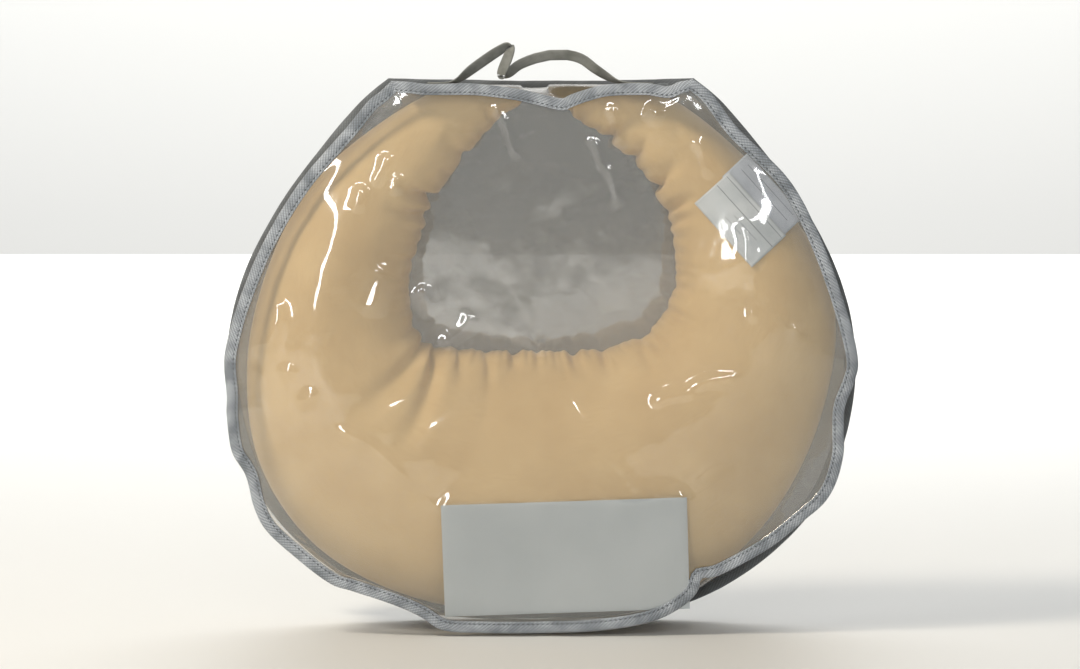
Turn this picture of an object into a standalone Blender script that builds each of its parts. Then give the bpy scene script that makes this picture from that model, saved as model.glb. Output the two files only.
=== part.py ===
"""A stuffed nursing pillow in its clear zipped carry bag.

The pillow is a C-shaped tube of cotton filled with fibre.  It stands in a bag of clear
vinyl: two domed panels, a gusset between them and a binding tape folded over each rim.
The top gusset carries a zip and a strap handle.

Metres, +Z up.  The origin is on the surface that the bag stands on, under its middle.
The front faces -Y.
"""
import math

import bmesh
import bpy

MM = 0.001
GAP = 0.3 * MM              # air left between pieces that touch

# Bag
BAG_WIDTH = 541 * MM        # over the bindings
BAG_HEIGHT = 478 * MM       # over the bindings, without the handle
GUSSET_DEPTH = 120 * MM     # front rim to rear rim
SHOULDER_SPAN = 264 * MM    # straight top edge
BASE_SPAN = 176 * MM        # straight bottom edge
WIDEST_HEIGHT = 228 * MM    # where the bag is widest
SHOULDER_FULLNESS = 1.85    # exponent of the upper curve; 2 is an ellipse
PANEL_BULGE = 19 * MM       # how far each panel domes out
FLAT_SHARE = 0.84           # part of the panel, from its middle, that stays flat
VINYL = 0.6 * MM
BINDING_WIDTH = 10 * MM
TAPE_WALL = 0.8 * MM

# Pillow
PILLOW_HALF_THICKNESS = 70 * MM
CASING_WALL = 1.2 * MM
FILL_CLEARANCE = 2.2 * MM
HOLE_CENTRE_HEIGHT = 320 * MM
# Angles from straight down round to the top, in degrees, with the hole's radius there
HOLE_RADII = ((0, 75 * MM), (45, 98 * MM), (90, 118 * MM), (135, 113 * MM), (175, 130 * MM))
# Angles with the room that the bag's corners leave round the pillow, over its seat
CORNER_ROOM = ((0, 0), (40, 20 * MM), (75, 5 * MM), (105, 5 * MM), (130, 18 * MM), (160, 6 * MM),
               (175, 5 * MM))
# Angles with the share of the full thickness that is left there
THICKNESS_SHARES = ((0, 1.0), (90, 1.0), (135, 0.8), (160, 0.5), (175, 0.22))
HORN_ANGLE = 175
SECTION_FULLNESS = 2.4      # exponent of the tube's section; 2 is an ellipse

# Labels and card
LABEL_LENGTH = 73 * MM
LONG_LABEL_WIDTH = 40 * MM
SHORT_LABEL_WIDTH = 34 * MM
SHORT_LABEL_SHOWS = 12 * MM
LABEL_THICKNESS = 0.5 * MM
LABEL_ANGLE = 102           # round the pillow, from straight down
LABEL_TILT = -48            # of the label's long edge from level
CARD_WIDTH = 209 * MM
CARD_HEIGHT = 100 * MM
CARD_THICKNESS = 0.8 * MM
CARD_OFFSET = 21 * MM       # to the right of the middle
CARD_TILT = 1.9             # degrees, right end up

# Handle
STRAP_WIDTH = 10 * MM
STRAP_THICKNESS = 1.2 * MM
HANDLE_SPAN = 194 * MM      # over its sewn ends
SEWN_LENGTH = 25 * MM
HANDLE_RISE = 40 * MM       # top of the loop above the gusset
HINGE_RISE = 7 * MM         # where the loop starts to swing, above the gusset
HANDLE_SETBACK = -18 * MM   # Y of the strap's middle

# Zip
ZIP_SETBACK = 25 * MM       # Y of the zip's middle
COIL_LENGTH = 224 * MM
COIL_WIDTH = 2.5 * MM
COIL_HEIGHT = 2.0 * MM
COIL_SLOT = 1.4 * MM        # between the two coils
ZIP_TAPE_WIDTH = 13 * MM
ZIP_TAPE_OVERRUN = 6 * MM
ZIP_WINDOW = 14 * MM        # between the two gusset strips
STOP_LENGTH = 2.7 * MM
SLIDER_LENGTH = 12 * MM
SLIDER_WALL = 1.0 * MM
SLIDER_WEB = 0.7 * MM
BAIL_LENGTH = 9.6 * MM
BAIL_WIDTH = 1.8 * MM
BAIL_WALL = 1.2 * MM
BAIL_ROOM = 2.4 * MM        # under the bail
TAB_LENGTH = 24 * MM
TAB_WIDTH = 7 * MM
TAB_THICKNESS = 1.0 * MM
TAB_BAR = 1.2 * MM          # the crossbar under the bail

HALF_DEPTH = GUSSET_DEPTH / 2
SKIN_HALF_WIDTH = BAG_WIDTH / 2 - BINDING_WIDTH
SKIN_BOTTOM = BINDING_WIDTH
SKIN_TOP = BAG_HEIGHT - BINDING_WIDTH
FLANGE = BINDING_WIDTH - TAPE_WALL - GAP
PANEL_INSIDE = HALF_DEPTH + GAP
HORN_STATIONS = 32
SECTION_STEPS = 8
DOME_STEPS = 4


# --- materials -------------------------------------------------------------------------

def make_material(name, colour, roughness, metallic=0.0, alpha=1.0):
    material = bpy.data.materials.new(name)
    material.use_nodes = True
    shader = material.node_tree.nodes["Principled BSDF"]
    shader.inputs["Base Color"].default_value = (*colour, 1)
    shader.inputs["Roughness"].default_value = roughness
    shader.inputs["Metallic"].default_value = metallic
    shader.inputs["Alpha"].default_value = alpha
    return material


# --- solids ----------------------------------------------------------------------------

def add_object(name, bm, material):
    """Puts a finished bmesh into the scene as one named sub-part."""
    bmesh.ops.recalc_face_normals(bm, faces=bm.faces)
    mesh = bpy.data.meshes.new(name)
    bm.to_mesh(mesh)
    bm.free()
    mesh.materials.append(material)
    obj = bpy.data.objects.new(name, mesh)
    bpy.context.scene.collection.objects.link(obj)
    return obj


def loft(name, rings, material, looped=False):
    """One closed solid through rings of the same number of points.

    A looped loft joins its last ring to its first; any other is capped at both ends.
    """
    bm = bmesh.new()
    rows = [[bm.verts.new(point) for point in ring] for ring in rings]
    followers = rows[1:] + rows[:1] if looped else rows[1:]
    for row, follower in zip(rows, followers):
        for i in range(len(row)):
            j = (i + 1) % len(row)
            bm.faces.new((row[i], row[j], follower[j], follower[i]))
    if not looped:
        bm.faces.new(rows[0])
        bm.faces.new(rows[-1])
    return add_object(name, bm, material)


def box(name, low, high, material):
    """A block between two corners."""
    def ring(x):
        return [(x, low[1], low[2]), (x, high[1], low[2]), (x, high[1], high[2]), (x, low[1], high[2])]
    return loft(name, [ring(low[0]), ring(high[0])], material)


def cut_box(obj, name, low, high):
    """Cuts a block out of a sub-part."""
    cutter = box(name, low, high, obj.data.materials[0])
    cutter.hide_render = True
    cutter.display_type = "WIRE"
    cut = obj.modifiers.new(name, "BOOLEAN")
    cut.operation = "DIFFERENCE"
    cut.solver = "EXACT"
    cut.object = cutter


# --- the bag's outline -----------------------------------------------------------------

def side_curve(steps=12):
    """Right side of the gusset line, from the shoulder down to the base, as (x, z)."""
    half_shoulder, half_base = SHOULDER_SPAN / 2, BASE_SPAN / 2
    share = (half_shoulder / SKIN_HALF_WIDTH) ** SHOULDER_FULLNESS
    crown = (SKIN_TOP - WIDEST_HEIGHT) / (1 - share) ** (1 / SHOULDER_FULLNESS)
    first = math.acos(math.sqrt(share))
    points = []
    for i in range(steps):
        t = first * (1 - i / steps)
        x = SKIN_HALF_WIDTH * math.cos(t) ** (2 / SHOULDER_FULLNESS)
        points.append((x, WIDEST_HEIGHT + crown * math.sin(t) ** (2 / SHOULDER_FULLNESS)))
    for i in range(steps + 1):
        t = math.pi / 2 * i / steps
        x = half_base + (SKIN_HALF_WIDTH - half_base) * math.cos(t)
        points.append((x, WIDEST_HEIGHT - (WIDEST_HEIGHT - SKIN_BOTTOM) * math.sin(t)))
    return points


def straight(start, end, steps):
    """The points between two ends, without the ends."""
    shares = [i / steps for i in range(1, steps)]
    return [tuple(a + (b - a) * share for a, b in zip(start, end)) for share in shares]


RIGHT_SIDE = side_curve()
LEFT_SIDE = [(-x, z) for x, z in reversed(RIGHT_SIDE)]
# Down the right side, along the base and up the left side, then back along the top
BELOW_SHOULDERS = RIGHT_SIDE + straight(RIGHT_SIDE[-1], LEFT_SIDE[0], 4) + LEFT_SIDE
OUTLINE = BELOW_SHOULDERS + straight(LEFT_SIDE[-1], RIGHT_SIDE[0], 6)


def mitre(i):
    """The outward direction at an outline point, as long as a mitre needs."""
    def outward(a, b):
        run, rise = b[0] - a[0], b[1] - a[1]
        length = math.hypot(run, rise)
        return -rise / length, run / length
    before = outward(OUTLINE[i - 1], OUTLINE[i])
    after = outward(OUTLINE[i], OUTLINE[(i + 1) % len(OUTLINE)])
    scale = 1 + before[0] * after[0] + before[1] * after[1]
    return (before[0] + after[0]) / scale, (before[1] + after[1]) / scale


OUTWARD = [mitre(i) for i in range(len(OUTLINE))]


def grown(distance, count=None):
    """The outline moved outwards, as (x, z)."""
    pairs = list(zip(OUTLINE, OUTWARD))[:count]
    return [(p[0] + n[0] * distance, p[1] + n[1] * distance) for p, n in pairs]


def along_outline(section, count=None):
    """A ring of (outward, y) section points at each outline point."""
    lines = [[(x, y, z) for x, z in grown(out, count)] for out, y in section]
    return [list(ring) for ring in zip(*lines)]


def ray_length(angle, clearance):
    """From the hole's centre to the gusset, less a clearance; angle 0 is straight down."""
    direction = math.sin(angle), -math.cos(angle)
    loop = grown(-clearance)
    lengths = []
    for a, b in zip(loop, loop[1:] + loop[:1]):
        edge = b[0] - a[0], b[1] - a[1]
        start = a[0], a[1] - HOLE_CENTRE_HEIGHT
        cross = direction[0] * edge[1] - direction[1] * edge[0]
        if abs(cross) < 1e-12:
            continue
        length = (start[0] * edge[1] - start[1] * edge[0]) / cross
        share = (start[0] * direction[1] - start[1] * direction[0]) / cross
        if length > 0 and -1e-9 <= share <= 1 + 1e-9:
            lengths.append(length)
    return min(lengths)


# --- the bag ---------------------------------------------------------------------------

def panel(name, side, material):
    """A domed vinyl panel with a flat rim that goes into the binding; side is -1 in front."""
    middle = BAG_HEIGHT / 2
    rings = [(grown(FLANGE), 0.0), (grown(-3 * GAP), 0.0)]
    for step in range(1, DOME_STEPS + 1):
        scale = 1 - (1 - FLAT_SHARE) * step / DOME_STEPS
        dome = math.sin(math.pi / 2 * step / DOME_STEPS)
        ring = [(x * scale, middle + (z - middle) * scale) for x, z in OUTLINE]
        rings.append((ring, PANEL_BULGE * dome))
    inner = [[(x, side * (PANEL_INSIDE + out), z) for x, z in ring] for ring, out in rings]
    outer = [[(x, y + side * VINYL, z) for x, y, z in ring] for ring in inner]
    return loft(name, list(reversed(inner)) + outer, material)


def gusset(name, material):
    """The strip round the sides and base, turned out at both edges into the bindings."""
    edge = HALF_DEPTH
    section = ((-VINYL, -edge), (FLANGE, -edge), (FLANGE, VINYL - edge), (0, VINYL - edge),
               (0, edge - VINYL), (FLANGE, edge - VINYL), (FLANGE, edge), (-VINYL, edge))
    return loft(name, along_outline(section, len(BELOW_SHOULDERS)), material)


def top_strip(name, side, material):
    """The top gusset on one side of the zip, turned out into that side's binding."""
    half = SHOULDER_SPAN / 2 - VINYL - GAP
    edge, inner = side * HALF_DEPTH, ZIP_SETBACK + side * ZIP_WINDOW / 2
    turned = edge - side * VINYL
    profile = ((edge, SKIN_TOP - VINYL), (edge, SKIN_TOP + FLANGE), (turned, SKIN_TOP + FLANGE),
               (turned, SKIN_TOP), (inner, SKIN_TOP), (inner, SKIN_TOP - VINYL))
    return loft(name, [[(x, y, z) for y, z in profile] for x in (-half, half)], material)


def binding(name, side, material):
    """A tape folded over a rim: a channel with the panel and gusset edges in it."""
    slot_low = HALF_DEPTH - VINYL - GAP
    slot_high = PANEL_INSIDE + VINYL + GAP
    slot_end = BINDING_WIDTH - TAPE_WALL
    section = ((GAP, slot_low - TAPE_WALL), (BINDING_WIDTH, slot_low - TAPE_WALL),
               (BINDING_WIDTH, slot_high + TAPE_WALL), (GAP, slot_high + TAPE_WALL),
               (GAP, slot_high), (slot_end, slot_high), (slot_end, slot_low), (GAP, slot_low))
    return loft(name, along_outline([(out, side * y) for out, y in section]), material, looped=True)


# --- the pillow ------------------------------------------------------------------------

def between(table, angle):
    """Reads a table of (degrees, value) with smooth steps between its rows."""
    angle = abs(angle)
    for (low, start), (high, end) in zip(table, table[1:]):
        if angle <= high:
            share = (angle - low) / (high - low)
            share = share * share * (3 - 2 * share)
            return start + (end - start) * share
    return table[-1][1]


def tube(angle):
    """The pillow's tube at an angle in degrees: middle radius, half width, half thickness."""
    outer = ray_length(math.radians(angle), VINYL + GAP + between(CORNER_ROOM, angle))
    inner = between(HOLE_RADII, angle)
    thickness = PILLOW_HALF_THICKNESS * between(THICKNESS_SHARES, angle)
    return (outer + inner) / 2, (outer - inner) / 2, thickness


def section_point(angle, turn, inset):
    """A point of the tube's skin; turn 0 is its inner edge, pi its outer edge, by the front."""
    middle, half_width, half_thickness = tube(angle)
    power = 2 / SECTION_FULLNESS
    across = math.copysign(abs(math.cos(turn)) ** power, math.cos(turn))
    deep = math.copysign(abs(math.sin(turn)) ** power, math.sin(turn))
    radius = middle - (half_width - inset) * across
    heading = math.radians(angle)
    return (radius * math.sin(heading), -(half_thickness - inset) * deep,
            HOLE_CENTRE_HEIGHT - radius * math.cos(heading))


def stations():
    steps = range(HORN_STATIONS + 1)
    return [HORN_ANGLE * (2 * i / HORN_STATIONS - 1) for i in steps]


def casing_half(name, side, material):
    """Half of the cotton cover: a thin shell, open at the seam round the middle plane."""
    turns = [math.pi * i / SECTION_STEPS for i in range(SECTION_STEPS + 1)]
    seam = GAP / 2

    def skin(angle, inset):
        points = [section_point(angle, turn, inset) for turn in turns]
        return [(x, side * max(-y, seam), z) for x, y, z in points]

    rings = [skin(angle, 0) + skin(angle, CASING_WALL)[::-1] for angle in stations()]
    return loft(name, rings, material)


def fill(name, material):
    """The fibre filling, one soft core a little smaller than the casing's inside."""
    turns = [math.pi * i / SECTION_STEPS for i in range(2 * SECTION_STEPS)]
    inset = CASING_WALL + FILL_CLEARANCE
    angles = stations()
    rings = [[section_point(angle, turn, inset) for turn in turns] for angle in angles]
    return loft(name, rings, material)


def casing_depth(x, z):
    """How far the casing's front stands from the middle plane at a place."""
    radius = math.hypot(x, HOLE_CENTRE_HEIGHT - z)
    angle = math.degrees(math.atan2(x, HOLE_CENTRE_HEIGHT - z))
    middle, half_width, half_thickness = tube(angle)
    share = min(abs(radius - middle) / half_width, 1)
    return half_thickness * (1 - share ** SECTION_FULLNESS) ** (1 / SECTION_FULLNESS)


def plate(name, centre, size, tilt, depths, material):
    """A thin plate that faces the front; depths are the Y of its back, low edge then high."""
    turn = math.radians(tilt)
    thickness = size[2]
    corners = []
    for side, end in ((-1, 0), (1, 0), (1, 1), (-1, 1)):
        along, up = side * size[0] / 2, (end - 0.5) * size[1]
        x = centre[0] + along * math.cos(turn) - up * math.sin(turn)
        z = centre[1] + along * math.sin(turn) + up * math.cos(turn)
        corners.append((x, depths[end], z))
    face = [(x, y - thickness, z) for x, y, z in corners]
    return loft(name, [corners, face], material)


def label(name, shift, width, lift, material):
    """A care label on the casing's crown, moved outwards across its long edge."""
    middle = tube(LABEL_ANGLE)[0]
    heading, turn = math.radians(LABEL_ANGLE), math.radians(LABEL_TILT)
    x = middle * math.sin(heading) - shift * math.sin(turn)
    z = HOLE_CENTRE_HEIGHT - middle * math.cos(heading) + shift * math.cos(turn)
    depth = 0
    for along in (-1, -0.5, 0, 0.5, 1):
        for across in (-1, -0.5, 0, 0.5, 1):
            run, rise = along * LABEL_LENGTH / 2, across * LONG_LABEL_WIDTH / 2
            depth = max(depth, casing_depth(x + run * math.cos(turn) - rise * math.sin(turn),
                                            z + run * math.sin(turn) + rise * math.cos(turn)))
    back = -(depth + GAP + lift)
    return plate(name, (x, z), (LABEL_LENGTH, width, LABEL_THICKNESS), LABEL_TILT, (back, back), material)


def card(name, material):
    """The blank insert card, standing on the base between the pillow and the front panel."""
    turn = math.radians(CARD_TILT)
    drop = CARD_WIDTH / 2 * math.sin(turn) + CARD_HEIGHT / 2 * math.cos(turn)
    centre = CARD_OFFSET, SKIN_BOTTOM + VINYL + GAP + drop
    foot = -(HALF_DEPTH - 2 * CARD_THICKNESS)
    head = -(PILLOW_HALF_THICKNESS + 2 * CARD_THICKNESS)
    return plate(name, centre, (CARD_WIDTH, CARD_HEIGHT, CARD_THICKNESS), CARD_TILT, (foot, head), material)


# --- the handle ------------------------------------------------------------------------

def strap(name, route, material):
    """A flat strap along an (x, z) route, cut square to X at both ends."""
    rings = []
    for i, (x, z) in enumerate(route):
        if i in (0, len(route) - 1):
            normal = 0.0, 1.0
        else:
            ahead = route[i + 1][0] - x, route[i + 1][1] - z
            behind = x - route[i - 1][0], z - route[i - 1][1]
            ahead = [part / math.hypot(*ahead) for part in ahead]
            behind = [part / math.hypot(*behind) for part in behind]
            run, rise = ahead[0] + behind[0], ahead[1] + behind[1]
            scale = 1 + ahead[0] * behind[0] + ahead[1] * behind[1]
            normal = -rise / scale, run / scale
        half_y, half = STRAP_WIDTH / 2, STRAP_THICKNESS / 2
        corners = ((-half_y, -half), (half_y, -half), (half_y, half), (-half_y, half))
        rings.append([(x + normal[0] * out, HANDLE_SETBACK + y, z + normal[1] * out)
                      for y, out in corners])
    return loft(name, rings, material)


def handle(material):
    """Two sewn ends that curl up off the gusset, and the loop that swings between them."""
    flat = SKIN_TOP + GAP + STRAP_THICKNESS / 2
    hinge_height = SKIN_TOP + HINGE_RISE
    outer = HANDLE_SPAN / 2
    lift = outer - SEWN_LENGTH
    rise = hinge_height - flat
    hinge = lift - 1.4 * rise
    for name, side in (("handle_end_left", -1), ("handle_end_right", 1)):
        route = [(side * outer, flat), (side * lift, flat), (side * (lift - 0.5 * rise), flat + 0.25 * rise),
                 (side * (lift - 1.1 * rise), flat + 0.85 * rise), (side * hinge, hinge_height)]
        strap(name, route if side < 0 else route[::-1], material)
    loop_rise = HANDLE_RISE - HINGE_RISE
    # The loop as shares of its half span and of its rise: up to a folded peak, down, then an arch
    shape = ((-0.82, 0.25), (-0.62, 0.62), (-0.47, 0.95), (-0.42, 1.0), (-0.39, 0.9), (-0.39, 0.5),
             (-0.34, 0.42), (-0.2, 0.5), (0.02, 0.7), (0.28, 0.76), (0.55, 0.66), (0.8, 0.33))
    start = hinge - GAP
    route = [(-start, hinge_height)]
    route += [(x * start, hinge_height + z * loop_rise) for x, z in shape]
    route.append((start, hinge_height))
    strap("handle_strap", route, material)


# --- the zip ---------------------------------------------------------------------------

def zip_parts(tape_material, coil_material, metal):
    """Two tapes with their coils, end stops, and a slider with its bail and pull tab."""
    tape_top = SKIN_TOP - VINYL - GAP
    tape_bottom = tape_top - VINYL
    coil_bottom = tape_top + GAP
    coil_top = coil_bottom + COIL_HEIGHT
    half_slot = COIL_SLOT / 2
    coil_end = COIL_LENGTH / 2
    tape_end = coil_end + ZIP_TAPE_OVERRUN
    for place, side in (("front", -1), ("rear", 1)):
        def across(near, far):
            return sorted((ZIP_SETBACK + side * near, ZIP_SETBACK + side * far))
        low, high = across(half_slot, half_slot + ZIP_TAPE_WIDTH)
        box(f"zipper_tape_{place}", (-tape_end, low, tape_bottom), (tape_end, high, tape_top), tape_material)
        low, high = across(half_slot, half_slot + COIL_WIDTH)
        box(f"zipper_coil_{place}", (-coil_end, low, coil_bottom), (coil_end, high, coil_top), coil_material)

    stop_start = coil_end + GAP
    reach = half_slot + COIL_WIDTH
    for place, side in (("left", -1), ("right", 1)):
        ends = sorted((side * stop_start, side * (stop_start + STOP_LENGTH)))
        box(f"zip_stop_{place}", (ends[0], ZIP_SETBACK - reach, coil_bottom),
            (ends[1], ZIP_SETBACK + reach, coil_top + GAP), metal)

    # Slider: a top plate with side flanges, a web through the slot and a plate below
    middle = stop_start - GAP - SLIDER_LENGTH / 2
    ends = middle - SLIDER_LENGTH / 2, middle + SLIDER_LENGTH / 2
    plate_low, plate_high = coil_top + GAP, coil_top + GAP + SLIDER_WALL
    inner = reach + GAP
    outer = inner + SLIDER_WALL
    web = SLIDER_WEB / 2
    under_high = tape_bottom - GAP
    under_low = under_high - SLIDER_WALL
    half = ((web, under_high), (web, plate_low), (inner, plate_low), (inner, coil_bottom),
            (outer, coil_bottom), (outer, plate_high))
    right = [(outer, under_low), (outer, under_high), *half]
    profile = right + [(-y, z) for y, z in reversed(right)]
    rings = [[(x, ZIP_SETBACK + y, z) for y, z in profile] for x in ends]
    slider = loft("zip_slider", rings, metal)

    bail_top = plate_high + BAIL_ROOM
    bail = box("bail", (middle - BAIL_LENGTH / 2, ZIP_SETBACK - BAIL_WIDTH / 2, plate_high - SLIDER_WALL / 2),
               (middle + BAIL_LENGTH / 2, ZIP_SETBACK + BAIL_WIDTH / 2, bail_top + BAIL_WALL), metal)
    bail.hide_render = True
    bail.display_type = "WIRE"
    join = slider.modifiers.new("bail", "BOOLEAN")
    join.operation = "UNION"
    join.solver = "EXACT"
    join.object = bail
    room = BAIL_LENGTH / 2 - BAIL_WALL
    cut_box(slider, "bail_room", (middle - room, ZIP_SETBACK - BAIL_WIDTH, plate_high),
            (middle + room, ZIP_SETBACK + BAIL_WIDTH, bail_top))

    # Pull tab: its crossbar lies in the bail, and the bail's leg stands in its window
    pivot = plate_high + BAIL_ROOM / 2
    tab = box("zip_pull_tab",
              (middle - TAB_LENGTH, ZIP_SETBACK - TAB_WIDTH / 2, pivot - TAB_THICKNESS / 2),
              (middle + TAB_BAR / 2, ZIP_SETBACK + TAB_WIDTH / 2, pivot + TAB_THICKNESS / 2), metal)
    reach = math.hypot(BAIL_LENGTH / 2, BAIL_ROOM / 2 + BAIL_WALL)
    cut_box(tab, "tab_window",
            (middle - reach - 2 * GAP, ZIP_SETBACK - BAIL_WIDTH / 2 - 2 * GAP, pivot - TAB_WIDTH),
            (middle - TAB_BAR / 2, ZIP_SETBACK + BAIL_WIDTH / 2 + 2 * GAP, pivot + TAB_WIDTH))


# --- the whole object ------------------------------------------------------------------

def main():
    for obj in list(bpy.data.objects):
        bpy.data.objects.remove(obj)

    cotton = make_material("cotton_casing", (0.56, 0.42, 0.25), 0.9)
    fibre = make_material("fibre_fill", (0.85, 0.84, 0.8), 1.0)
    label_cloth = make_material("label_cloth", (0.6, 0.62, 0.62), 0.6)
    card_board = make_material("insert_card", (0.5, 0.55, 0.57), 0.6)
    vinyl = make_material("clear_vinyl", (0.62, 0.64, 0.64), 0.12, alpha=0.3)
    tape = make_material("binding_tape", (0.29, 0.31, 0.33), 0.85)
    webbing = make_material("strap_webbing", (0.24, 0.24, 0.22), 0.8)
    zip_tape = make_material("zipper_tape", (0.3, 0.31, 0.32), 0.9)
    zip_coil = make_material("zipper_coil", (0.33, 0.34, 0.35), 0.45)
    zip_metal = make_material("zip_metal", (0.5, 0.5, 0.5), 0.35, metallic=1.0)

    casing_half("casing_front", -1, cotton)
    casing_half("casing_back", 1, cotton)
    fill("fibre_fill", fibre)
    hidden = SHORT_LABEL_WIDTH - SHORT_LABEL_SHOWS
    shift = LONG_LABEL_WIDTH / 2 + SHORT_LABEL_WIDTH / 2 - hidden
    label("care_label_short", shift, SHORT_LABEL_WIDTH, 0, label_cloth)
    label("care_label_long", 0, LONG_LABEL_WIDTH, LABEL_THICKNESS + GAP, label_cloth)
    card("insert_card", card_board)

    panel("bag_front_panel", -1, vinyl)
    panel("bag_back_panel", 1, vinyl)
    gusset("bag_gusset", vinyl)
    top_strip("bag_top_strip_front", -1, vinyl)
    top_strip("bag_top_strip_rear", 1, vinyl)
    binding("front_binding", -1, tape)
    binding("rear_binding", 1, tape)

    handle(webbing)
    zip_parts(zip_tape, zip_coil, zip_metal)


main()
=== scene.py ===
# %% [markdown]
# # A nursing pillow in its clear carry bag
# The real object is soft all over: a C-shaped cotton tube stuffed with fibre, standing in a bag
# of clear vinyl. The vinyl is cut as two panels and a gusset, and a grey tape is folded over
# each rim and stitched through. The looks are made here around the working model, which is
# loaded first and never moved.

# %% Load the working model
import math
import random
from contextlib import contextmanager

import bmesh
import bpy
import numpy as np
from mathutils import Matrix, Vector, noise
from mathutils.bvhtree import BVHTree


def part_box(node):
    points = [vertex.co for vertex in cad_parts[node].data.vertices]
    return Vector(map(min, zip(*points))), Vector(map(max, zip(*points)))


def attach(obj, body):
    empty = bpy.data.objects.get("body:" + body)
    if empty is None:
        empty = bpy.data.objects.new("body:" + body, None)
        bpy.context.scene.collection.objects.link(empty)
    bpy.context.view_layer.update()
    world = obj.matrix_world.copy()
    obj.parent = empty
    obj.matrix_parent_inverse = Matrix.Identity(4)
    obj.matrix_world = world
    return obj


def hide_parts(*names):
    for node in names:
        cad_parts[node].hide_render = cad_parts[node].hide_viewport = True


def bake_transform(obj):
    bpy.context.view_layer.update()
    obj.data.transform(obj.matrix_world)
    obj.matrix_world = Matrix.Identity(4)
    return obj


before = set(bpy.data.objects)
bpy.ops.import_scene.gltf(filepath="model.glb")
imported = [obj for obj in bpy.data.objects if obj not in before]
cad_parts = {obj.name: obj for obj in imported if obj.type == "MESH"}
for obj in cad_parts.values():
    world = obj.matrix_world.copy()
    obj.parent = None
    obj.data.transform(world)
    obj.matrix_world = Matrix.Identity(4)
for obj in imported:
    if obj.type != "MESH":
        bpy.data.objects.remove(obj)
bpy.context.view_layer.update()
BAG, HANDLE = "bag_and_pillow", "handle"
MM = 0.001
FILM_THICK = 0.3 * MM
TUCK = 7.5 * MM                    # how far a film goes into the binding tape

# %% [markdown]
# ## Helpers for shapes
# Soft goods are easiest to build as skins: rows of points with faces between them. A line
# through a few given points gives each row its shape. Lengths go into the UV map in
# metres, so that weave and twill keep their real size on every piece.


# %% A smooth line through a few points
def through(points, count, closed=False):
    """Reads a smooth line through given points at even steps."""
    pts = np.array(points, float)
    n = len(pts)
    dense = []
    for i in range(n if closed else n - 1):
        near = [(i + k) % n if closed else min(max(i + k, 0), n - 1) for k in (-1, 0, 1, 2)]
        a, b, c, d = pts[near]
        for t in np.arange(0, 1, 1 / 24):
            bend = 2 * a - 5 * b + 4 * c - d
            dense.append(b + ((c - a) * t + bend * t * t + (3 * b - a - 3 * c + d) * t ** 3) / 2)
    dense.append(pts[0] if closed else pts[-1])
    dense = np.array(dense)
    steps = np.linalg.norm(np.diff(dense, axis=0), axis=1)
    along = np.concatenate([[0], np.cumsum(steps)])
    want = np.linspace(0, along[-1], count, endpoint=not closed)
    return np.stack([np.interp(want, along, dense[:, k]) for k in range(pts.shape[1])], axis=1)


def smoothed(values, reach, closed=True):
    """A running average over reach steps each way."""
    total = np.zeros_like(values)
    for k in range(-reach, reach + 1):
        if closed:
            total += np.roll(values, k, axis=0)
        else:
            total += values[np.clip(np.arange(len(values)) + k, 0, len(values) - 1)]
    return total / (2 * reach + 1)


def ramp(x):
    """0 to 1 with soft ends."""
    x = np.clip(x, 0, 1)
    return x * x * (3 - 2 * x)


# %% A skin through rows of points
def skin(name, rows, material, closed_rows=False, closed_columns=False):
    """A mesh through rows of points, with its UV map in metres along and across."""
    rows = np.array(rows, float)
    count, width = rows.shape[:2]
    loop = np.concatenate([rows, rows[:1]], axis=0) if closed_rows else rows
    loop = np.concatenate([loop, loop[:, :1]], axis=1) if closed_columns else loop
    u = np.cumsum(np.linalg.norm(np.diff(loop, axis=0, prepend=loop[:1]), axis=2), axis=0)
    v = np.cumsum(np.linalg.norm(np.diff(loop, axis=1, prepend=loop[:, :1]), axis=2), axis=1)
    u = np.repeat(u.mean(axis=1, keepdims=True), loop.shape[1], axis=1)
    r, c = np.meshgrid(np.arange(loop.shape[0] - 1), np.arange(loop.shape[1] - 1), indexing="ij")
    quads = [(r, c), (r, c + 1), (r + 1, c + 1), (r + 1, c)]
    faces = np.stack([(i % count) * width + j % width for i, j in quads], axis=2).reshape(-1, 4)
    corners = np.stack([np.stack([u[i, j], v[i, j]], axis=2) for i, j in quads], axis=2).reshape(-1, 2)
    mesh = bpy.data.meshes.new(name)
    mesh.from_pydata(rows.reshape(-1, 3).tolist(), [], faces.tolist())
    layer = mesh.uv_layers.new(name="UVMap")
    layer.data.foreach_set("uv", np.array(corners, np.float32).ravel())
    return finish_mesh(name, mesh, material)


def finish_mesh(name, mesh, material):
    """Puts a mesh in the scene, shaded smooth, in its material."""
    mesh.materials.append(material)
    mesh.shade_smooth()
    obj = bpy.data.objects.new(name, mesh)
    bpy.context.scene.collection.objects.link(obj)
    return obj


def choose(obj):
    """Makes one object the only one that operators act on."""
    bpy.ops.object.select_all(action="DESELECT")
    obj.select_set(True)
    bpy.context.view_layer.objects.active = obj


def apply_modifier(obj, kind, **settings):
    """Adds a modifier and applies it at once."""
    choose(obj)
    modifier = obj.modifiers.new(kind.title(), kind)
    for key, value in settings.items():
        setattr(modifier, key, value)
    bpy.ops.object.modifier_apply(modifier=modifier.name)


@contextmanager
def editing(obj):
    """A mesh opened for editing, and written back afterwards."""
    bm = bmesh.new()
    bm.from_mesh(obj.data)
    bm.verts.ensure_lookup_table()
    yield bm
    bm.to_mesh(obj.data)
    bm.free()


def point_outwards(obj):
    """Turns all faces of a closed mesh outwards."""
    with editing(obj) as bm:
        bmesh.ops.recalc_face_normals(bm, faces=bm.faces)


def thickened(obj, thickness):
    """Gives a skin its thickness, half to each side."""
    apply_modifier(obj, "SOLIDIFY", thickness=thickness, offset=0)
    point_outwards(obj)
    return obj


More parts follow.
